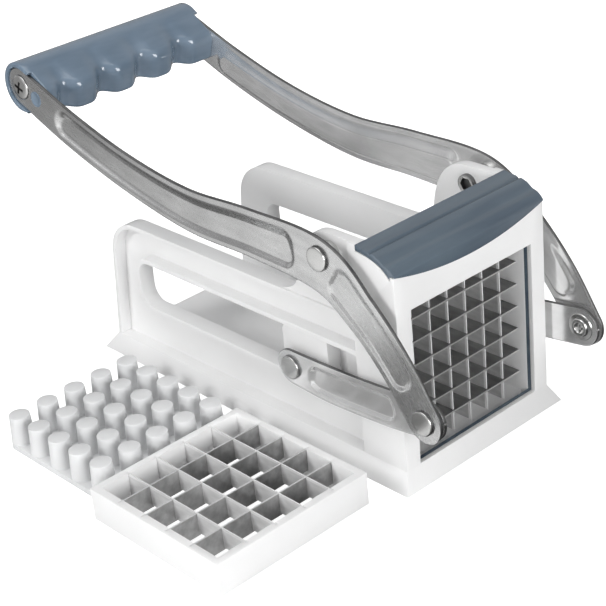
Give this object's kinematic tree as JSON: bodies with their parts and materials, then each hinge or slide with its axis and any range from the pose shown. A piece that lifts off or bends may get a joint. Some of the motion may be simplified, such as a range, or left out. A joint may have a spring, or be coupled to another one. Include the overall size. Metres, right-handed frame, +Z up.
{
  "type": "french fry cutter",
  "caption": "Hand-lever cutter: a pusher on two cranked steel arms and links drives a potato along a moulded trough through a grid of blades; a second blade grid and pusher plate lie beside it",
  "frame": {"origin": "centre of the base's underside, where it rests on the table", "axes": "+X the way the fries leave, +Z up, +Y to the left seen from the handle; the arms' pivot axis is parallel to Y"},
  "size_m": [0.2472, 0.176, 0.1277],
  "materials": {
    "housing_plastic": "smooth semi-gloss white moulding",
    "arm_steel": "pressed stainless sheet, brushed along its length",
    "link_steel": "pressed stainless sheet, brushed along its length",
    "fastener_steel": "turned steel, lightly polished",
    "grip_plastic": "glossy blue-grey moulding",
    "holder_plastic": "satin-gloss blue-grey moulding",
    "pusher_plastic": "plain white moulding",
    "blade_frame_plastic": "plain white moulding",
    "blade_steel": "thin polished stainless strip",
    "spare_plate_plastic": "slightly translucent white moulding"
  },
  "bodies": {
    "housing": {"housing": "housing_plastic", "pivot_post_left": "fastener_steel", "pivot_post_right": "fastener_steel", "pivot_screw_left": "fastener_steel", "pivot_screw_right": "fastener_steel", "pivot_spacer_left": "fastener_steel", "pivot_spacer_right": "fastener_steel", "spare_cassette_frame": "blade_frame_plastic", "spare_horizontal_blades": "blade_steel", "spare_vertical_blades": "blade_steel", "spare_pusher_plate": "spare_plate_plastic"},
    "lever": {"arm_left": "arm_steel", "arm_right": "arm_steel", "handle_grip": "grip_plastic", "handle_rod": "fastener_steel", "handle_screw_left": "fastener_steel", "handle_screw_right": "fastener_steel", "crank_rivet_left": "fastener_steel", "crank_rivet_right": "fastener_steel"},
    "pusher": {"pusher_carriage": "pusher_plastic", "pusher_shaft": "fastener_steel", "shaft_spacer_left": "fastener_steel", "shaft_spacer_right": "fastener_steel", "pusher_plate": "pusher_plastic"},
    "link_left": {"link_left": "link_steel", "link_swage_left": "fastener_steel"},
    "link_right": {"link_right": "link_steel", "link_swage_right": "fastener_steel"},
    "blade_holder": {"blade_holder": "holder_plastic", "cassette_frame": "blade_frame_plastic", "horizontal_blades": "blade_steel", "vertical_blades": "blade_steel"}
  },
  "joints": [
    {"name": "lever_hinge", "type": "hinge", "parent": "housing", "child": "lever", "pos_m": [0.057, 0, 0.089], "axis": [0, 1, 0], "range_deg": [-5.2, 75]},
    {"name": "pusher_slide", "type": "slide", "parent": "housing", "child": "pusher", "axis": [1, 0, 0], "range_m": [-0.085, 0.006]},
    {"name": "link_left_hinge", "type": "hinge", "parent": "pusher", "child": "link_left", "pos_m": [0.03297, 0.04295, 0.0343], "axis": [0, 1, 0], "range_deg": [-1, 7.2]},
    {"name": "link_right_hinge", "type": "hinge", "parent": "pusher", "child": "link_right", "pos_m": [0.03297, -0.04295, 0.0343], "axis": [0, 1, 0], "range_deg": [-1, 7.2]},
    {"name": "blade_holder_slide", "type": "slide", "parent": "housing", "child": "blade_holder", "axis": [0, 0, 1], "range_m": [0, 0.09]}
  ],
  "couplings": [
    {"joint": "pusher_slide", "follows": "lever_hinge", "m_per_rad": -0.06454},
    {"joint": "link_left_hinge", "follows": "lever_hinge", "ratio": 0.0926},
    {"joint": "link_right_hinge", "follows": "lever_hinge", "ratio": 0.0926}
  ]
}
